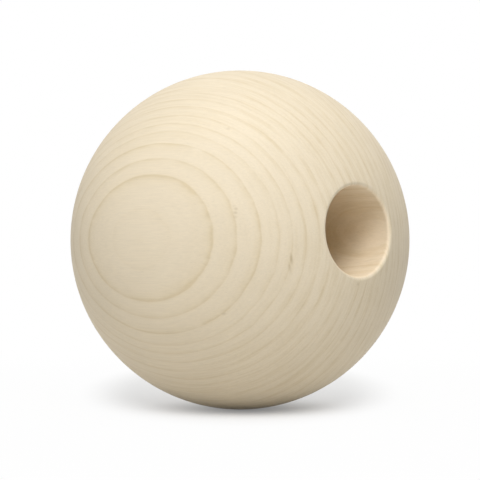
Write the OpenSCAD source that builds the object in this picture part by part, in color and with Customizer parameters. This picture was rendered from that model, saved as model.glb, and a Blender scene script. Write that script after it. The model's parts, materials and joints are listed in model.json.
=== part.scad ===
// Ball cap for the end of a wooden dowel, such as a curtain rod, a newel or a toy axle.
// One piece: a ball turned from solid wood, with a blind bore drilled to its middle
// and the edge of the bore sanded round.
// The origin is the ball's centre, where the dowel's end seats, and the bore opens along +X.

/* [Ball] */
// Diameter of the turned ball
ball_d = 76.2; // [60:0.1:120]

/* [Bore] */
// Diameter of the dowel that the cap is made for
dowel_d = 19.05; // [10:0.05:28]
// Gap left for glue all round the dowel
glue_gap = 0.05; // [0.05:0.05:0.4]
// Depth of the bore, from the ball's round face before drilling to the flat floor
bore_depth = 38.1; // [20:0.1:45]
// Radius of the sanded edge round the bore's mouth
mouth_round = 0.75; // [0.2:0.05:2]

/* [Drill mark] */
// Diameter of the small hollow that the drill's centre point leaves in the floor
point_d = 3.2; // [2:0.1:6]
// Full angle of the drill's centre point, in degrees
point_angle = 90; // [60:5:120]

/* [Hidden] */
$fn = 96;

ball_r = ball_d / 2;
bore_r = dowel_d / 2 + glue_gap;
floor_x = ball_r - bore_depth;
// Height of the cone that the centre point cuts
point_h = point_d / 2 / tan(point_angle / 2);
// Centre of the arc of the sanded edge: it touches the ball from inside and the bore from outside
round_y = bore_r + mouth_round;
round_x = sqrt((ball_r - mouth_round) ^ 2 - round_y ^ 2);
// Cutters stand this far out of the ball, so that no two faces lie on each other
clear = 5;
// Share of the way out along the line from the ball's centre through the arc's centre
reach = (ball_r + clear) / (ball_r - mouth_round);

// Turns what is built along Z so that it points along X
module along_x() {
    rotate([0, 90, 0]) children();
}

// Straight wall and flat floor of the bore
module bore() {
    along_x()
        translate([0, 0, floor_x])
            cylinder(r = bore_r, h = bore_depth + clear);
}

// Cone of the drill's centre point, below the floor
module drill_point() {
    along_x()
        translate([0, 0, floor_x - point_h])
            cylinder(r1 = 0, r2 = point_d / 2, h = point_h);
}

// Section of what sanding takes off the edge: the corner between bore and ball, outside the arc
module mouth_section() {
    difference() {
        polygon([
            [0, round_x],
            [round_y, round_x],
            [round_y * reach, round_x * reach],
            [0, round_x * reach]
        ]);
        translate([round_y, round_x]) circle(r = mouth_round);
    }
}

// Ring cutter that rounds the bore's mouth
module mouth_rounding() {
    along_x() rotate_extrude() mouth_section();
}

// The whole cap
module ball_cap() {
    color("blanchedalmond")
        difference() {
            sphere(r = ball_r);
            bore();
            drill_point();
            mouth_rounding();
        }
}

ball_cap();
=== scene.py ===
# %% [markdown]
# # A turned wooden dowel cap
#
# This lesson dresses one small wooden part: a ball turned from a block of pale hardwood, with a blind
# hole drilled to its middle, so that it can be glued on the end of a dowel. It has a single piece, so all
# the care goes into two things: the shape of the drilled mouth, and the wood.
#
# The construction model comes in first and is never moved. Every size below is worked out from it, which
# keeps the dressed ball true to the part: the ball's radius from its box, the bore from its mount.

# %% Load the part and read its sizes
import json
import math
import random

import bmesh
import bpy
from mathutils import Euler, Matrix, Vector


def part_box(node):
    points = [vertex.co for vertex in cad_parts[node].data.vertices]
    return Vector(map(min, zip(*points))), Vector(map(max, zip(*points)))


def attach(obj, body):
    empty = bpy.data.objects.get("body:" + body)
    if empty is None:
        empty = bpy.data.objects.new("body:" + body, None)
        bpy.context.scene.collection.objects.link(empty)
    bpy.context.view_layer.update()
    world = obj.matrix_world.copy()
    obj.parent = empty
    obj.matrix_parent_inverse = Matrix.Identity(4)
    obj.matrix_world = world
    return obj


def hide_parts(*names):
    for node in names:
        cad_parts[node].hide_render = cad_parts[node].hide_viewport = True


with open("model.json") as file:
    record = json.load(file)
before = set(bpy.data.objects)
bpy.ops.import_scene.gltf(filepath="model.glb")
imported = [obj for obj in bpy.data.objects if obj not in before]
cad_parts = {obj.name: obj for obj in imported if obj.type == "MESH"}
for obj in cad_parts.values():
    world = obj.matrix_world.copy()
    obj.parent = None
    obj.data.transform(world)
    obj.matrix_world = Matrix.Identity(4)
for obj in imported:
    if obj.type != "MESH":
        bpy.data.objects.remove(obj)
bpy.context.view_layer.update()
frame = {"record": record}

MM = 0.001
_, ball_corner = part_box("ball_cap")
bore_mount = frame["record"]["mounts"][0]
BALL_R = ball_corner.z
BORE_R = bore_mount["dims"]["r_mm"] * MM
WALL_LENGTH = bore_mount["dims"]["length_mm"] * MM
# The edge's round touches the ball and the wall, so its radius follows from where the wall ends.
EDGE_R = (BALL_R**2 - BORE_R**2 - WALL_LENGTH**2) / (2 * (BALL_R + BORE_R))

print(f"ball {2 * BALL_R / MM:.2f} mm, bore {2 * BORE_R / MM:.2f} mm, rounded edge {EDGE_R / MM:.2f} mm")

# %% [markdown]
# ## Small helpers for node trees
#
# Geometry and materials are both built as node trees here. A tree made in code is easy to read when each
# node takes one line: what it does, and what goes into it. `add` makes a node and fills its sockets with
# numbers or with other nodes' outputs. `calc` is the same for a Math node, and `total` and `product` are
# short ways to write a row of them.

# %% Helpers for any tree
def feed(tree, source, socket):
    """Links an output into a socket, or sets the socket to a plain value."""
    if isinstance(source, bpy.types.NodeSocket):
        tree.links.new(source, socket)
    else:
        socket.default_value = source


def add(tree, kind, inputs=None, **settings):
    """Adds a node, sets its properties, fills its inputs by name or number, and returns it."""
    made = tree.nodes.new(kind)
    for name, value in settings.items():
        setattr(made, name, value)
    for key, source in (inputs or {}).items():
        feed(tree, source, made.inputs[key])
    return made


def calc(tree, operation, *terms, clamp=False):
    """Adds a Math node and returns its result, held between 0 and 1 if clamp is set."""
    made = add(tree, "ShaderNodeMath", dict(enumerate(terms)), operation=operation, use_clamp=clamp)
    return made.outputs[0]


def total(tree, *terms):
    """Adds up any number of terms."""
    result = terms[0]
    for term in terms[1:]:
        result = calc(tree, "ADD", result, term)
    return result


def product(tree, *terms):
    """Multiplies any number of terms."""
    result = terms[0]
    for term in terms[1:]:
        result = calc(tree, "MULTIPLY", result, term)
    return result


def combine(tree, x=0.0, y=0.0, z=0.0):
    """Joins three numbers to a vector."""
    return add(tree, "ShaderNodeCombineXYZ", {"X": x, "Y": y, "Z": z}).outputs[0]


print("node helpers ready")

# %% [markdown]
# ## The shape: a section line, swept once round
#
# A turner works from a section line: from the back of the ball, over the outside to the mouth, round the
# eased edge, down the wall, across the floor and into the small pit that the drill's centre point
# leaves. Sweeping that line once round the bore's axis gives the whole surface. It could be modelled with
# a sphere and a boolean, but booleans leave long thin faces round the mouth, just where the light
# catches. A swept section has clean rows of faces everywhere.
#
# In Geometry Nodes, Curve to Mesh sweeps a section along a path. The path is a small circle, and the
# section is drawn beside it: x is the distance from the axis, and y runs back along the axis. Each piece
# of the section is its own spline: an arc, or a straight stretch cut into equal steps.

# %% Helpers for the section
def moved(tree, geometry, offset):
    """Shifts a curve by an offset given as a vector output or three numbers."""
    return add(tree, "GeometryNodeSetPosition", {"Geometry": geometry, "Offset": offset}).outputs[0]


def arc(tree, steps, radius, start, sweep):
    """A stretch of circle about the origin, with angles as outputs or radians."""
    sockets = {"Resolution": steps, "Radius": radius, "Start Angle": start, "Sweep Angle": sweep}
    return add(tree, "GeometryNodeCurveArc", sockets).outputs["Curve"]


def stretch(tree, steps, x0, y0, x1, y1):
    """A straight stretch of the section, cut into equal steps."""
    ends = {"Start": combine(tree, x0, y0), "End": combine(tree, x1, y1)}
    line = add(tree, "GeometryNodeCurvePrimitiveLine", ends).outputs[0]
    return add(tree, "GeometryNodeResampleCurve", {"Curve": line, "Count": steps}).outputs[0]


print("section helpers ready")

# %% [markdown]
# The eased edge is an arc that touches both the ball and the wall. Its centre stands one edge radius off
# the wall, level with the wall's end. The line from the ball's centre through it meets the ball just where
# the edge begins, so one angle ends the arc over the ball and starts the arc of the edge.

# %% The outside and the eased edge
def outside_and_edge(tree, size):
    """The arc over the ball and the arc of the eased edge."""
    edge_x = calc(tree, "ADD", size["Bore radius"], size["Edge radius"])
    edge_y = calc(tree, "MULTIPLY", size["Wall length"], -1.0)
    lean = calc(tree, "ARCTAN2", edge_x, size["Wall length"])
    leave = calc(tree, "SUBTRACT", lean, math.pi / 2)
    ball_sweep = calc(tree, "SUBTRACT", lean, math.pi)
    edge_sweep = calc(tree, "SUBTRACT", calc(tree, "MULTIPLY", leave, -1.0), math.pi)

    over_ball = arc(tree, size["Steps over ball"], size["Ball radius"], math.pi / 2, ball_sweep)
    round_edge = arc(tree, size["Steps on edge"], size["Edge radius"], leave, edge_sweep)
    return over_ball, moved(tree, round_edge, combine(tree, edge_x, edge_y))


edge_begins = math.degrees(math.atan2(BORE_R + EDGE_R, WALL_LENGTH))
print(f"the edge begins {edge_begins:.1f} degrees off the axis")

# %% [markdown]
# The drill leaves faint rings on the wall as it is fed in. They are a hundredth of a millimetre or two
# deep: far too small to model one by one, and easy to make as a noise that depends only on the depth.
# They fade out at both ends, so that the wall still meets the edge and the floor.

# %% The drilled wall
def drilled_wall(tree, size):
    """The bore's wall from the eased edge down to the floor, with the drill's rings."""
    mouth_y = calc(tree, "MULTIPLY", size["Wall length"], -1.0)
    wall = stretch(tree, size["Steps on wall"], size["Bore radius"], mouth_y, size["Bore radius"], 0.0)

    position = add(tree, "GeometryNodeInputPosition").outputs[0]
    height = add(tree, "ShaderNodeSeparateXYZ", {0: position}).outputs["Y"]
    turns = calc(tree, "ADD", calc(tree, "DIVIDE", height, size["Ring spacing"]), size["Seed"])
    rings = add(
        tree,
        "ShaderNodeTexNoise",
        {"W": turns, "Scale": 1.0, "Detail": 2.0},
        noise_dimensions="1D",
    ).outputs[0]

    # This is 0 at both ends of the wall and 1 in the middle.
    down = calc(tree, "DIVIDE", height, mouth_y)
    full_in_middle = product(tree, down, calc(tree, "SUBTRACT", 1.0, down), 4.0)
    return moved(tree, wall, combine(tree, product(tree, rings, size["Ring depth"], full_in_middle)))


print(f"the wall is {WALL_LENGTH / MM:.2f} mm long")

# %% [markdown]
# Now the pieces of the section are joined and swept. Merging by distance welds the rings where two pieces
# meet, and closes the poles. The tree ends in Realize Instances and Set Material, so that what leaves it
# is a real mesh with its wood on.

# %% Sweep the section
PATH_R = 1.0 * MM
WELD = 0.002 * MM


def swept_round(tree, size, pieces):
    """Joins the pieces of the section and sweeps them once round the X axis."""
    section = add(tree, "GeometryNodeJoinGeometry")
    for piece in pieces:
        tree.links.new(piece, section.inputs[0])
    section = moved(tree, section.outputs[0], (-PATH_R, 0.0, 0.0))

    circle = {"Resolution": size["Steps round"], "Radius": PATH_R}
    path = add(tree, "GeometryNodeCurvePrimitiveCircle", circle).outputs[0]
    path = add(tree, "GeometryNodeSetCurveNormal", {"Curve": path}, mode="Z_UP").outputs[0]
    swept = add(tree, "GeometryNodeCurveToMesh", {"Curve": path, "Profile Curve": section}).outputs[0]
    welded = add(tree, "GeometryNodeMergeByDistance", {"Geometry": swept, "Distance": WELD}).outputs[0]
    from_z_to_x = (0.0, math.pi / 2, 0.0)
    return add(tree, "GeometryNodeTransform", {"Geometry": welded, "Rotation": from_z_to_x}).outputs[0]


print(f"points closer than {WELD / MM:.3f} mm are welded")

# %% The whole tree
LENGTHS = (
    "Ball radius",
    "Bore radius",
    "Edge radius",
    "Wall length",
    "Pit radius",
    "Pit depth",
    "Ring depth",
    "Ring spacing",
)
COUNTS = (
    "Steps round",
    "Steps over ball",
    "Steps on edge",
    "Steps on wall",
    "Steps on floor",
    "Steps in pit",
    "Seed",
)


def turned_ball_tree():
    """Geometry Nodes tree of a drilled ball about the X axis, with its sizes as named inputs."""
    tree = bpy.data.node_groups.new("turned_and_drilled_ball", "GeometryNodeTree")
    sockets = tree.interface
    sockets.new_socket("Geometry", in_out="OUTPUT", socket_type="NodeSocketGeometry")
    for name in LENGTHS:
        sockets.new_socket(name, in_out="INPUT", socket_type="NodeSocketFloat")
    for name in COUNTS:
        sockets.new_socket(name, in_out="INPUT", socket_type="NodeSocketInt")
    sockets.new_socket("Wood", in_out="INPUT", socket_type="NodeSocketMaterial")
    size = add(tree, "NodeGroupInput").outputs

    over_ball, round_edge = outside_and_edge(tree, size)
    wall = drilled_wall(tree, size)
    floor = stretch(tree, size["Steps on floor"], size["Bore radius"], 0.0, size["Pit radius"], 0.0)
    pit = stretch(tree, size["Steps in pit"], size["Pit radius"], 0.0, 0.0, size["Pit depth"])
    swept = swept_round(tree, size, (pit, floor, wall, round_edge, over_ball))

    smooth = add(tree, "GeometryNodeSetShadeSmooth", {0: swept, "Shade Smooth": True}).outputs[0]
    real = add(tree, "GeometryNodeRealizeInstances", {0: smooth}).outputs[0]
    painted = add(tree, "GeometryNodeSetMaterial", {"Geometry": real, "Material": size["Wood"]}).outputs[0]
    feed(tree, painted, add(tree, "NodeGroupOutput").inputs[0])
    return tree


tree = turned_ball_tree()
print(f"tree of the ball: {len(tree.nodes)} nodes, {len(LENGTHS) + len(COUNTS) + 1} inputs")

# %% [markdown]
# The steps are close enough that the ball's outline stays round in a close view, and few enough for a
# light mesh. The pit's size isn't given by the mount, so it takes what a drill of this width has: a
# centre point of about a sixth of the drill, ground to a right angle.

# %% Sizes and steps
PIT_R = BORE_R / 6
WOOD = bpy.data.materials.new("pale_sanded_hardwood")

turning = {
    "Ball radius": BALL_R,
    "Bore radius": BORE_R,
    "Edge radius": EDGE_R,
    "Wall length": WALL_LENGTH,
    "Pit radius": PIT_R,
    "Pit depth": PIT_R,
    "Ring depth": 0.02 * MM,
    "Ring spacing": 1.4 * MM,
    "Steps round": 240,
    "Steps over ball": 180,
    "Steps on edge": 12,
    "Steps on wall": 120,
    "Steps on floor": 8,
    "Steps in pit": 4,
    "Seed": 4,
    "Wood": WOOD,
}
print(f"pit {2 * PIT_R / MM:.2f} mm across, {turning['Steps round']} steps round the ball")

# %% [markdown]
# Here the tree is run on an empty mesh object. A modifier's input has to be set by its socket's
# identifier, so a small loop looks each one up by its readable name. The result is then copied to a plain
# mesh and the modifier goes, because other programs can't read it.

# %% Turn the ball
blank = bpy.data.objects.new("blank", bpy.data.meshes.new("blank"))
bpy.context.scene.collection.objects.link(blank)
turn = blank.modifiers.new("turn", "NODES")
turn.node_group = tree
for item in tree.interface.items_tree:
    if item.in_out == "INPUT":
        turn[item.identifier] = turning[item.name]

bpy.context.view_layer.update()
turned = blank.evaluated_get(bpy.context.evaluated_depsgraph_get())
ball_mesh = bpy.data.meshes.new_from_object(turned)
blank.modifiers.remove(turn)
bpy.data.objects.remove(blank)

ball_mesh.name = "drilled_ball"
drilled_ball = bpy.data.objects.new("drilled_ball", ball_mesh)
bpy.context.scene.collection.objects.link(drilled_ball)
print(f"drilled ball: {len(ball_mesh.polygons)} faces, material {ball_mesh.materials[0].name}")

# %% [markdown]
# A swept surface can come out inside out, depending on which way the section was drawn. The volume tells:
# it is positive when the faces point outwards. The same cell checks that the surface is closed, and marks
# the two true corners at the bore's floor as sharp, so that smooth shading stops there.

# %% Check and finish the mesh
CORNER = math.radians(40)

shape = bmesh.new()
shape.from_mesh(ball_mesh)
if shape.calc_volume(signed=True) < 0:
    bmesh.ops.reverse_faces(shape, faces=shape.faces)
open_edges = sum(1 for edge in shape.edges if len(edge.link_faces) != 2)
volume = shape.calc_volume(signed=True)
shape.to_mesh(ball_mesh)
shape.free()
ball_mesh.set_sharp_from_angle(angle=CORNER)

print(f"volume {volume / MM**3 / 1000:.1f} cm3, open edges {open_edges}")

# %% [markdown]
# ## The wood: growth rings are a distance
#
# A tree adds one layer a year, so the wood's figure is not painted on the surface: it is a stack of
# curved sheets all through the block, and the turner's tool only shows where the ball cuts them. That is
# why the rings close into loops where a sheet just grazes the ball, and run in dense bands where the ball
# cuts them steeply. Made as a solid, the figure is right in the bore too, with no seam anywhere.
#
# The material first turns Object coordinates into the log's own directions: x along the fibre, y across
# it, and z out of the face where the rings close. The turner held the block about 14 degrees off the
# fibre, so the bore isn't quite in line with it. A Mapping node of the Texture type does this in one step,
# and divides by the ball's radius, so that every point of the ball has coordinates between -1 and 1.

# %% The log's own directions
LOG_TURN = Euler((math.radians(92.8), math.radians(1.4), math.radians(13.8)))
FIBRE = LOG_TURN.to_matrix().col[0]

WOOD.use_nodes = True
wood = WOOD.node_tree
wood.nodes.clear()

place = add(wood, "ShaderNodeTexCoord").outputs["Object"]
in_log = add(
    wood,
    "ShaderNodeMapping",
    {"Vector": place, "Rotation": LOG_TURN, "Scale": (BALL_R, BALL_R, BALL_R)},
    vector_type="TEXTURE",
).outputs[0]
log_axes = add(wood, "ShaderNodeSeparateXYZ", {0: in_log}).outputs
along = log_axes["X"]
across = log_axes["Y"]
depth = calc(wood, "SUBTRACT", 1.0, log_axes["Z"])
print(f"the fibre runs along {FIBRE.x:.2f}, {FIBRE.y:.2f}, {FIBRE.z:.2f}")

# %% [markdown]
# ### How the sheets bend
#
# In a perfect cylinder of a tree the sheets would be plain tubes. In a real one they arch across the
# fibre, spread along it where the trunk thickens, and twist a little. Each of the three is one short
# formula on top of the plain depth below the face. The terms grow with depth, so deep on the far side
# they would fold the sheets over. `bend_depth` is the depth that they use: it is levelled off smoothly,
# and from there on the sheets lie parallel. The result is a depth in millimetres.

# %% Bend the sheets
ARCH = 0.21
ARCH_BY_DEPTH = 1.36
ARCH_BY_DEPTH_2 = -0.96
ARCH_BY_LENGTH = -0.35
ARCH_EASING = -0.19
TAPER = 0.07
TAPER_BY_DEPTH = 0.63
TAPER_EASING = -0.11
TWIST = -0.03
TWIST_BY_DEPTH = 0.20
LEVEL_AT = 0.95
LEVEL_BY_LENGTH = 0.45
LEVEL_SOFTLY = 0.3

level_off = calc(wood, "MULTIPLY_ADD", along, LEVEL_BY_LENGTH, LEVEL_AT)
bend_depth = calc(wood, "SMOOTH_MIN", depth, level_off, LEVEL_SOFTLY)
across_2 = product(wood, across, across)
along_3 = product(wood, along, along, along)

arch_deeper = calc(wood, "MULTIPLY_ADD", bend_depth, ARCH_BY_DEPTH_2, ARCH_BY_DEPTH)
arch = product(
    wood,
    across_2,
    total(
        wood,
        ARCH,
        product(wood, bend_depth, arch_deeper),
        product(wood, along, ARCH_BY_LENGTH),
        product(wood, across_2, ARCH_EASING),
    ),
)
taper_deeper = calc(wood, "MULTIPLY_ADD", bend_depth, TAPER_BY_DEPTH, TAPER)
taper = total(
    wood,
    product(wood, along, bend_depth, taper_deeper),
    product(wood, along_3, TAPER_EASING),
)
twist_deeper = calc(wood, "MULTIPLY_ADD", bend_depth, TWIST_BY_DEPTH, TWIST)
twist = product(wood, along, across, twist_deeper)
bent_depth = product(wood, total(wood, depth, arch, taper, twist), BALL_R / MM)
print(f"sheets bent by arch, taper and twist: {len(wood.nodes)} nodes so far")

# %% [markdown]
# Real sheets are never quite even either. Two noises, both drawn out along the fibre, move them by a few
# tenths of a millimetre: a slow one bends them gently, and a fine one gives the rings their slight
# tremble. Near the face the ball only grazes the sheets, so that a small shift moves a ring a long way.
# The fine noise is weak there and grows with depth.
#
# This needs three more helpers. `map_range` turns one span of values into another and holds both ends,
# `grain_noise` is noise in the log's directions, and `around_zero` centres it.

# %% Helpers for patterns
NUMBER_RESULTS = ("LENGTH", "DISTANCE", "DOT_PRODUCT")
SMOOTH = "SMOOTHSTEP"


def vector_calc(tree, operation, *terms):
    """Adds a Vector Math node and returns its result, which is a number for a length or a distance."""
    made = add(tree, "ShaderNodeVectorMath", dict(enumerate(terms)), operation=operation)
    return made.outputs["Value" if operation in NUMBER_RESULTS else "Vector"]


def map_range(tree, value, start, end, first=0.0, last=1.0, ease="LINEAR"):
    """Turns a value that runs from start to end into one that runs from first to last."""
    spans = {"Value": value, "From Min": start, "From Max": end, "To Min": first, "To Max": last}
    return add(tree, "ShaderNodeMapRange", spans, interpolation_type=ease).outputs[0]


def noise(vector, detail, roughness):
    """Noise from 0 to 1 at a point of the wood, with features about one unit in size."""
    sockets = {"Vector": vector, "Scale": 1.0, "Detail": detail, "Roughness": roughness}
    return add(wood, "ShaderNodeTexNoise", sockets).outputs["Fac"]


def grain_noise(scale_along, scale_across, detail=2.0, roughness=0.5):
    """Noise from 0 to 1 in the log's directions, finer along or across the fibre by its two scales."""
    stretched = vector_calc(wood, "MULTIPLY", in_log, (scale_along, scale_across, scale_across))
    return noise(stretched, detail, roughness)


def around_zero(value, reach):
    """Turns a value from 0 to 1 into one from -reach to reach."""
    return calc(wood, "MULTIPLY", calc(wood, "SUBTRACT", value, 0.5), 2 * reach)


print("pattern helpers ready")

# %% Let the sheets wander
# Depths and shifts are in millimetres here.
SLOW_WANDER = 0.4
FINE_NEAR_FACE = 0.16
FINE_DEEP = 0.34
GROWS_FROM = 6.0
GROWS_TO = 30.0

slow_wander = around_zero(grain_noise(scale_along=1.2, scale_across=3.0), SLOW_WANDER)
fine_reach = map_range(wood, bent_depth, GROWS_FROM, GROWS_TO, FINE_NEAR_FACE, FINE_DEEP)
fine_noise = around_zero(grain_noise(scale_along=5.0, scale_across=14.0, detail=3.0), 1.0)
fine_wander = product(wood, fine_noise, fine_reach)
sheet_depth = total(wood, bent_depth, slow_wander, fine_wander)
print(f"sheets wander by up to {SLOW_WANDER + FINE_DEEP:.2f} mm")

# %% [markdown]
# ### A calendar of years
#
# Good and poor summers make wide and narrow layers, so an even spacing looks machine made. The list gives
# each year's width in millimetres and how dark its late wood is, from the face inwards. Only the years
# near the face need choosing one by one; a seeded random run carries on to the far side of the ball.

# %% The calendar
YEARS = [
    (0.6, 0.08),
    (2.95, 0.95),
    (2.4, 0.60),
    (3.15, 0.80),
    (3.05, 0.42),
    (2.55, 0.55),
    (3.15, 0.62),
    (4.0, 0.60),
    (3.8, 0.58),
    (3.4, 0.55),
    (3.6, 0.60),
    (4.2, 0.60),
    (4.0, 0.65),
    (4.5, 0.75),
    (5.4, 0.70),
]
DEEPEST = 100.0
WIDTHS = (3.6, 5.2)
DARKNESSES = (0.45, 0.85)
SUMMERS_SEED = 11

summers = random.Random(SUMMERS_SEED)
while sum(width for width, late in YEARS) < DEEPEST:
    width = round(summers.uniform(*WIDTHS), 1)
    YEARS.append((width, round(summers.uniform(*DARKNESSES), 2)))
print(f"{len(YEARS)} years, {sum(width for width, late in YEARS):.1f} mm deep in all")

# %% [markdown]
# A Float Curve turns depth into a year number. It climbs by one over each layer's width, so its whole
# part is the year, and its fraction is the season within the year. A second curve gives the darkness of
# the late wood at each depth.

# %% From depth to year and season
def draw_curve(value, points):
    """A Float Curve through points from 0 to 1, joined by straight lines."""
    node = add(wood, "ShaderNodeFloatCurve", {"Value": value})
    curve = node.mapping.curves[0]
    while len(curve.points) < len(points):
        curve.points.new(0.5, 0.5)
    for point, (x, y) in zip(curve.points, points):
        point.location = (x, y)
        point.handle_type = "VECTOR"
    node.mapping.update()
    return node.outputs[0]


year_points = [(0.0, 0.0)]
late_points = [(0.0, YEARS[0][1])]
depth_so_far = 0.0
for number, (width, late) in enumerate(YEARS, start=1):
    depth_so_far += width
    year_points.append((min(depth_so_far / DEEPEST, 1.0), number / len(YEARS)))
    late_points.append((min(depth_so_far / DEEPEST, 1.0), late))

curve_depth = calc(wood, "DIVIDE", sheet_depth, DEEPEST, clamp=True)
year = product(wood, draw_curve(curve_depth, year_points), float(len(YEARS)))
season = calc(wood, "FRACT", year)
lateness = draw_curve(curve_depth, late_points)
print(f"two curves of {len(year_points)} points")

# %% [markdown]
# ### One year's colour
#
# In spring the tree grows fast and the wood is pale. It darkens slowly through the summer, ends in a thin
# dark line of late wood, and then starts again all at once. That one-sided step is what makes a ring
# look like wood and not like a stripe, so the Color Ramp is steep on one side only.
#
# Deeper in, the ball cuts the rings close together, and fine sanding blurs them. There the crisp line
# gives way, by more than half, to a soft band: a sine wave that is darkest in the same season.

# %% Season to tone
LINE_TONES = [
    (0.00, 0.60),
    (0.05, 0.12),
    (0.18, 0.00),
    (0.58, 0.12),
    (0.80, 0.30),
    (0.90, 0.62),
    (0.96, 1.00),
]
DARKEST_SEASON = 0.93
BAND_TONE = 0.3
MOST_SOFT = 0.65
SOFTENS_FROM = 15.0
SOFTENS_TO = 30.0

ramp = add(wood, "ShaderNodeValToRGB", {0: season})
stops = ramp.color_ramp.elements
while len(stops) < len(LINE_TONES):
    stops.new(0.5)
for stop, (where, tone) in zip(stops, LINE_TONES):
    stop.position = where
    stop.color = (tone, tone, tone, 1.0)
crisp_line = ramp.outputs[0]

# A sine wave peaks a quarter of the way round, so it is moved on from there to the darkest season.
round_year = calc(wood, "MULTIPLY_ADD", season, 2 * math.pi, 2 * math.pi * (0.25 - DARKEST_SEASON))
soft_band = calc(wood, "MULTIPLY_ADD", calc(wood, "SINE", round_year), BAND_TONE, BAND_TONE)
softness = map_range(wood, sheet_depth, SOFTENS_FROM, SOFTENS_TO, last=MOST_SOFT)
softer = product(wood, calc(wood, "SUBTRACT", soft_band, crisp_line), softness)
season_tone = total(wood, crisp_line, softer)
print(f"ramp of {len(stops)} stops, softened from {SOFTENS_FROM:.0f} mm deep")

# %% [markdown]
# No late line is even along its length. Two noises, a broad one and a fine one, make it stronger here and
# weaker there. Between the lines run faint thinner layers, left by a dry week or a wet one. They follow
# the sheets, so their noise is long along and across the wood and short through its depth. Near the face
# a sheet lies almost flat in the surface and would show them as blots, so they are weak there.

# %% Uneven lines and faint layers
BROAD_CHANGE = 1.0
FINE_CHANGE = 0.8
LAYERS_ALONG = 3.0
LAYERS_ACROSS = 5.0
LAYERS_THROUGH = 1.2
LAYERS_NEAR_FACE = 0.15
LAYERS_DEEP = 1.1
LAYERS_FROM = 3.0
LAYERS_TO = 30.0
TRACE_OF_LATE_WOOD = 0.04

line_strength = total(
    wood,
    1.0,
    around_zero(grain_noise(scale_along=2.5, scale_across=7.0), BROAD_CHANGE),
    around_zero(grain_noise(scale_along=9.0, scale_across=26.0), FINE_CHANGE),
)
layer_place = combine(
    wood,
    product(wood, along, LAYERS_ALONG),
    product(wood, across, LAYERS_ACROSS),
    product(wood, sheet_depth, LAYERS_THROUGH),
)
faint_layers = around_zero(noise(layer_place, detail=3.0, roughness=0.6), 1.0)
layer_strength = map_range(wood, sheet_depth, LAYERS_FROM, LAYERS_TO, LAYERS_NEAR_FACE, LAYERS_DEEP)
late_wood = total(
    wood,
    product(wood, season_tone, lateness, line_strength),
    product(wood, faint_layers, layer_strength),
    TRACE_OF_LATE_WOOD,
)
print(f"late wood done: {len(wood.nodes)} nodes so far")

# %% [markdown]
# ### Fibres, mottling and end grain
#
# Between the rings the wood isn't flat in colour. Fine fibres run as short streaks, tiny pores lie
# scattered as darker dashes, and broad patches drift a little lighter and darker. Where the surface cuts
# across the fibres, at both ends of the log's direction, the open ends swallow light and look a shade
# darker. The object-space normal tells how square the surface is to the fibre, and a high power keeps
# the shade to where it is nearly square.

# %% The quieter layers
PORES_FROM = 0.66
PORES_FULL = 0.78
END_GRAIN_POWER = 8.0

streak_noise = grain_noise(scale_along=6.0, scale_across=110.0, detail=3.0, roughness=0.6)
streaks = around_zero(streak_noise, 1.0)
pore_noise = grain_noise(scale_along=26.0, scale_across=150.0, detail=1.0)
pores = map_range(wood, pore_noise, PORES_FROM, PORES_FULL)
mottle = around_zero(grain_noise(scale_along=2.0, scale_across=3.5), 1.0)
normal = add(wood, "ShaderNodeTexCoord").outputs["Normal"]
facing_fibre = calc(wood, "ABSOLUTE", vector_calc(wood, "DOT_PRODUCT", normal, FIBRE))
end_grain = calc(wood, "POWER", facing_fibre, END_GRAIN_POWER)
print("streaks, pores, mottling and end grain added")

# %% [markdown]
# Painted light in the bore: its wall is tinted lighter than the outside of the ball, which stands in for
# light reaching deeper into the bore than the lamps bring. A point is on the wall when it lies near the
# bore's axis, but the same distance also picks out a disc on the back of the ball. So a second test keeps
# only the mouth's side of a plane that lies a little behind the pit.

# %% Painted light in the bore
# Painted light: the bore's wall is tinted lighter out to these distances from its axis.
BORE_LIGHT_FULL = BORE_R + 0.1 * MM
BORE_LIGHT_ENDS = BORE_R + 0.4 * MM
BEHIND_PIT = -3 * PIT_R

row_axes = add(wood, "ShaderNodeSeparateXYZ", {0: place}).outputs
from_axis = vector_calc(wood, "LENGTH", combine(wood, 0.0, row_axes["Y"], row_axes["Z"]))
near_axis = map_range(wood, from_axis, BORE_LIGHT_ENDS, BORE_LIGHT_FULL)
mouth_side = calc(wood, "GREATER_THAN", row_axes["X"], BEHIND_PIT)
# Painted light: one where the bore's wall is tinted lighter, fading out over the rounded edge.
painted_light_in_bore = product(wood, near_axis, mouth_side)
print(f"painted bore light up to {BORE_LIGHT_ENDS / MM:.2f} mm from the axis")

# %% [markdown]
# ### Small marks
#
# A few small marks make it one particular ball: a dark fleck where a ray crosses a ring, and some pin
# dots. Each is a point in the ball with a length along the fibre and a width across it. It darkens the
# wood most at its centre, and less and less out to where the stretched distance to it is one.

# %% Small marks
class Mark:
    """A small dark mark: its place, length along and width across the fibre in mm, and darkness."""

    def __init__(self, place, length, width, darkness):
        self.place = Vector(place)
        self.length = length
        self.width = width
        self.darkness = darkness


MARKS = [
    Mark((26.9, -26.6, 4.3), 0.90, 0.50, 0.12),
    Mark((27.3, -26.4, 3.7), 0.85, 0.50, 0.30),
    Mark((27.2, -26.5, 2.9), 0.85, 0.50, 0.30),
    Mark((27.2, -26.5, 2.0), 0.85, 0.50, 0.20),
    Mark((33.6, -16.9, -6.5), 0.34, 1.90, 0.45),
    Mark((33.2, -17.0, -8.2), 0.40, 1.60, 0.28),
    Mark((21.6, -23.3, 21.0), 0.65, 0.65, 0.20),
    Mark((22.3, -25.3, -17.5), 1.10, 0.45, 0.27),
    Mark((36.4, 0.0, -11.1), 0.40, 0.70, 0.26),
]

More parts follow.
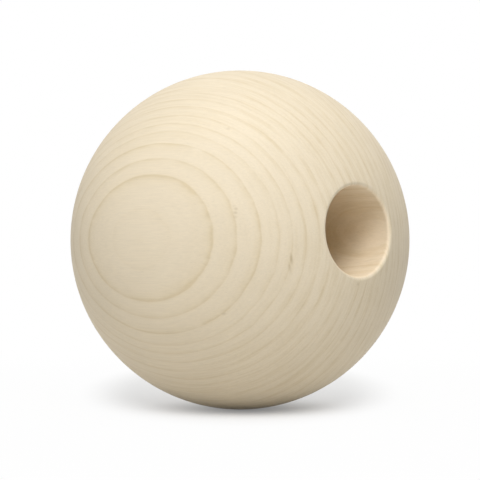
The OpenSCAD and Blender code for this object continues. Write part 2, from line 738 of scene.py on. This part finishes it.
to_log = LOG_TURN.to_matrix().inverted()
marks = 0.0
for mark in MARKS:
    centre = to_log @ (mark.place * MM / BALL_R)
    reach = Vector((mark.length, mark.width, mark.width)) * MM / BALL_R
    offset = vector_calc(wood, "SUBTRACT", in_log, centre)
    away = vector_calc(wood, "LENGTH", vector_calc(wood, "DIVIDE", offset, reach))
    spot = map_range(wood, away, 1.0, 0.0, 0.0, mark.darkness, SMOOTH)
    marks = calc(wood, "MAXIMUM", marks, spot)
print(f"{len(MARKS)} small marks")

# %% [markdown]
# ### Colours together
#
# Late wood is browner than spring wood, not just darker, so the two are mixed as colours. The quieter
# layers then only scale the result by a few hundredths, and the bore's wall is tinted a little lighter as
# painted light. The marks come last, over everything.

# %% Mix the colours
SPRING_WOOD = (0.82, 0.713, 0.54, 1.0)
LATE_WOOD = (0.722, 0.60, 0.40, 1.0)
MARK_BROWN = (0.38, 0.27, 0.12, 1.0)
NO_TINT = (1.0, 1.0, 1.0, 1.0)
# Painted light: how much lighter the bore's wall is made.
PAINTED_BORE_LIGHT = (1.13, 1.11, 1.11, 1.0)
STREAK_SHADE = 0.075
MOTTLE_SHADE = 0.04
PORE_SHADE = -0.05
END_GRAIN_SHADE = -0.11


def blend_colours(factor, first, second):
    """Mixes two colours by a factor."""
    node = add(wood, "ShaderNodeMix", {"Factor": factor}, data_type="RGBA")
    feed(wood, first, node.inputs[6])
    feed(wood, second, node.inputs[7])
    return node.outputs[2]


ring_colour = blend_colours(late_wood, SPRING_WOOD, LATE_WOOD)
shade = total(
    wood,
    1.0,
    product(wood, streaks, STREAK_SHADE),
    product(wood, mottle, MOTTLE_SHADE),
    product(wood, pores, PORE_SHADE),
    product(wood, end_grain, END_GRAIN_SHADE),
)
shaded = add(
    wood,
    "ShaderNodeVectorMath",
    {0: ring_colour, "Scale": shade},
    operation="SCALE",
).outputs[0]
# Painted light in the bore, as a tint on the wood's colour.
bore_light_tint = blend_colours(painted_light_in_bore, NO_TINT, PAINTED_BORE_LIGHT)
wood_colour = blend_colours(marks, vector_calc(wood, "MULTIPLY", shaded, bore_light_tint), MARK_BROWN)
print(f"colours mixed: {len(wood.nodes)} nodes so far")

# %% [markdown]
# ### The sanded surface
#
# Bare sanded wood is close to matt. The late wood is denser, sands a little smoother and stands a few
# thousandths of a millimetre proud; the fibres leave a fine nap, and the marks are sunk. Roughness and
# bump both come from the same layers as the colour, so that the light agrees with the figure.

# %% Surface
BARE_ROUGHNESS = 0.62
LATE_ROUGHNESS = -0.06
STREAK_ROUGHNESS = 0.08
NAP = 0.6
PROUD_LATE_WOOD = 0.5
SUNK_MARKS = -1.0
RELIEF = 0.02 * MM
RELIEF_STRENGTH = 0.35
WOOD_IOR = 1.5
MATT_SPECULAR = 0.35

roughness = total(
    wood,
    BARE_ROUGHNESS,
    product(wood, late_wood, LATE_ROUGHNESS),
    product(wood, streaks, STREAK_ROUGHNESS),
)
relief = total(
    wood,
    product(wood, streaks, NAP),
    product(wood, late_wood, PROUD_LATE_WOOD),
    product(wood, marks, SUNK_MARKS),
)
bump = add(
    wood,
    "ShaderNodeBump",
    {"Height": relief, "Strength": RELIEF_STRENGTH, "Distance": RELIEF},
).outputs[0]
surface = add(
    wood,
    "ShaderNodeBsdfPrincipled",
    {
        "Base Color": wood_colour,
        "Roughness": roughness,
        "Normal": bump,
        "IOR": WOOD_IOR,
        "Specular IOR Level": MATT_SPECULAR,
    },
)
add(wood, "ShaderNodeOutputMaterial", {"Surface": surface.outputs[0]})
print(f"wood material: {len(wood.nodes)} nodes")

# %% [markdown]
# ## The camera
#
# The camera stands ten ball radii away with a long lens, and a little below the ball's own level. Its
# axes are written out once, because the floor and the lamps are placed by them too.

# %% Camera
CAMERA_SIDE = math.radians(47.17)
CAMERA_HEIGHT = math.radians(-4.04)
CAMERA_AWAY = 10 * BALL_R
LENS_MM = 126.5
SENSOR_MM = 36.0
NEAREST_SEEN = 10 * MM

right = Vector((math.cos(CAMERA_SIDE), math.sin(CAMERA_SIDE), 0.0))
back_x = math.sin(CAMERA_SIDE) * math.cos(CAMERA_HEIGHT)
back_y = -math.cos(CAMERA_SIDE) * math.cos(CAMERA_HEIGHT)
back = Vector((back_x, back_y, math.sin(CAMERA_HEIGHT)))
up = back.cross(right)
axes = Matrix((right, up, back)).transposed().to_4x4()

lens = bpy.data.cameras.new("camera")
lens.lens = LENS_MM
lens.sensor_width = SENSOR_MM
lens.clip_start = NEAREST_SEEN
camera = bpy.data.objects.new("camera", lens)
bpy.context.scene.collection.objects.link(camera)
camera.matrix_world = Matrix.Translation(back * CAMERA_AWAY) @ axes
bpy.context.scene.camera = camera
print(f"camera {camera.location.length / MM:.0f} mm from the ball's centre")

# %% [markdown]
# ## The floor
#
# The ball lies on the floor with its bore tipped up by about four degrees, while the part's own frame
# keeps the bore level. The part may not be turned, so the floor leans by those four degrees instead.

# %% The floor's disc
FLOOR_RADIUS = 2.0
FLOOR_SIDES = 96
TOUCH = -BALL_R * up
LAY_FLAT = Matrix.Rotation(-math.pi / 2, 3, "X")

floor_mesh = bpy.data.meshes.new("floor")
shape = bmesh.new()
bmesh.ops.create_circle(shape, cap_ends=True, segments=FLOOR_SIDES, radius=FLOOR_RADIUS)
bmesh.ops.rotate(shape, verts=shape.verts, matrix=axes.to_3x3() @ LAY_FLAT)
bmesh.ops.translate(shape, verts=shape.verts, vec=TOUCH)
shape.normal_update()
if shape.faces[:][0].normal.dot(up) < 0:
    bmesh.ops.reverse_faces(shape, faces=shape.faces)
shape.to_mesh(floor_mesh)
shape.free()
floor = bpy.data.objects.new("floor", floor_mesh)
bpy.context.scene.collection.objects.link(floor)
print(f"floor {FLOOR_RADIUS:.1f} m round the ball")

# %% [markdown]
# ### White, and still a floor that takes a shadow
#
# A pale floor in soft light is a shade darker than a white page. So the floor is a mix: an ordinary matt
# surface, which takes the shadow, and plain white. The white is added only for rays that see the floor
# directly, in a reflection or through glass, which leaves the light on the ball as it is.
#
# The share of white depends on the place. It is least where the ball touches the floor, so that a dark
# soft line holds the two together. A long faint shadow lies behind the ball, shaped as an ellipse. Past
# its soft edge the floor is nearly all white, and further out it is white altogether. A Mapping node of
# the Texture type moves, turns and scales the ellipse to a plain ball of radius one, so that the distance
# from its centre tells how far out of the shadow a place is.

# %% Share of white
WHITE_AT_TOUCH = 0.20
WHITE_NEAR = 0.62
NEAR_ENDS = 0.8 * BALL_R
DARKEST_PLACE = TOUCH + 0.05 * BALL_R * right

SHADOW_CENTRE = TOUCH - 1.54 * BALL_R * back
SHADOW_REACH = (1.05 * BALL_R, BALL_R, 2.5 * BALL_R)
EDGE_STARTS = 0.66
EDGE_ENDS = 1.05
WHITE_OUTSIDE = 0.92

FAR_STARTS = 2 * BALL_R
FAR_ENDS = 200 * MM

paper = bpy.data.materials.new("pale_floor")
paper.use_nodes = True
sheet = paper.node_tree
sheet.nodes.clear()
on_floor = add(sheet, "ShaderNodeTexCoord").outputs["Object"]
from_touch = vector_calc(sheet, "DISTANCE", on_floor, DARKEST_PLACE)
in_shadow = add(
    sheet,
    "ShaderNodeMapping",
    {"Vector": on_floor, "Location": SHADOW_CENTRE, "Rotation": axes.to_euler(), "Scale": SHADOW_REACH},
    vector_type="TEXTURE",
).outputs[0]
out_of_shadow = vector_calc(sheet, "LENGTH", in_shadow)

white_by_touch = map_range(sheet, from_touch, 0.0, NEAR_ENDS, WHITE_AT_TOUCH, WHITE_NEAR, SMOOTH)
white_outside = map_range(sheet, out_of_shadow, EDGE_STARTS, EDGE_ENDS, 0.0, WHITE_OUTSIDE, SMOOTH)
white_far = map_range(sheet, from_touch, FAR_STARTS, FAR_ENDS, 0.0, 1.0 - WHITE_OUTSIDE, SMOOTH)
matt_left = product(
    sheet,
    calc(sheet, "SUBTRACT", 1.0, total(sheet, white_outside, white_far)),
    calc(sheet, "SUBTRACT", 1.0, white_by_touch),
)
whiteness = calc(sheet, "SUBTRACT", 1.0, matt_left, clamp=True)
print(f"white from {WHITE_AT_TOUCH:.2f} under the ball to 1.00 at {FAR_ENDS / MM:.0f} mm")

# %% Floor material
MATT_FLOOR = (0.76, 0.755, 0.74, 1.0)
WHITE = (1.0, 1.0, 1.0, 1.0)


def seen_directly(tree):
    """One for rays that see a surface directly, mirrored or through glass, and zero for the rest."""
    rays = add(tree, "ShaderNodeLightPath").outputs
    seen = calc(tree, "MAXIMUM", rays["Is Camera Ray"], rays["Is Glossy Ray"])
    return calc(tree, "MAXIMUM", seen, rays["Is Transmission Ray"])


matt = add(sheet, "ShaderNodeBsdfDiffuse", {"Color": MATT_FLOOR}).outputs[0]
white = add(sheet, "ShaderNodeEmission", {"Color": WHITE, "Strength": 1.0}).outputs[0]
share = calc(sheet, "MULTIPLY", whiteness, seen_directly(sheet))
mixed = add(sheet, "ShaderNodeMixShader", {0: share, 1: matt, 2: white}).outputs[0]
add(sheet, "ShaderNodeOutputMaterial", {"Surface": mixed})
floor_mesh.materials.append(paper)
print(f"floor material: {len(sheet.nodes)} nodes")

# %% [markdown]
# ## Light
#
# One large soft lamp stands high in front and gives the ball its form. A second hangs over it and lifts
# its top. A weak one near the camera reaches into the bore. Two more, low on either side, keep the ball's
# outer edges from going dull, as pale walls would. The room's own light fills the rest.
#
# The world is white for camera rays, so the background is white, and dimmer for the rays that light the
# ball. The lamps are kept at a level where a colour renders about as it is written.

# %% The room
ROOM_LIGHT = 0.18

world = bpy.data.worlds.new("pale_room")
world.use_nodes = True
room = world.node_tree
room.nodes.clear()
level = calc(room, "MULTIPLY_ADD", seen_directly(room), 1.0 - ROOM_LIGHT, ROOM_LIGHT)
sky = add(room, "ShaderNodeBackground", {"Color": WHITE, "Strength": level}).outputs[0]
add(room, "ShaderNodeOutputWorld", {"Surface": sky})
bpy.context.scene.world = world
print(f"room light {ROOM_LIGHT:.2f}")

# %% Lamps
LAMP_AWAY = 1.2
# Each lamp's angle to the right of the camera and above it, in degrees, its size in metres and its watts.
LAMPS = {
    "key": (3, 47, 0.7, 9.15),
    "top": (0, 87, 0.9, 5.0),
    "front_fill": (-10, 5, 0.8, 0.4),
    "left": (-75, 12, 0.9, 1.1),
    "right": (85, 12, 0.9, 0.7),
}


def hang_lamp(name, side, height, size, power):
    """An area lamp at an angle to the right of and above the camera's line, aimed at the ball."""
    lamp = bpy.data.lights.new(name, "AREA")
    lamp.shape = "DISK"
    lamp.size = size
    lamp.energy = power
    level_out = math.sin(side) * right + math.cos(side) * back
    toward = math.cos(height) * level_out + math.sin(height) * up
    aimed = toward.to_track_quat("Z", "Y").to_matrix().to_4x4()
    made = bpy.data.objects.new(name, lamp)
    bpy.context.scene.collection.objects.link(made)
    made.matrix_world = Matrix.Translation(toward * LAMP_AWAY) @ aimed


for name, (side, height, size, power) in LAMPS.items():
    hang_lamp(name, math.radians(side), math.radians(height), size, power)
print(f"{len(LAMPS)} lamps hung {LAMP_AWAY:.1f} m away")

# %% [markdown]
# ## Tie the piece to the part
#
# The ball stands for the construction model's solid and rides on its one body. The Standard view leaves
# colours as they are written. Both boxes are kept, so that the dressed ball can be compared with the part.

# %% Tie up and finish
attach(drilled_ball, "root")
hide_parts("ball_cap")

bpy.context.scene.view_settings.view_transform = "Standard"
bpy.context.view_layer.update()
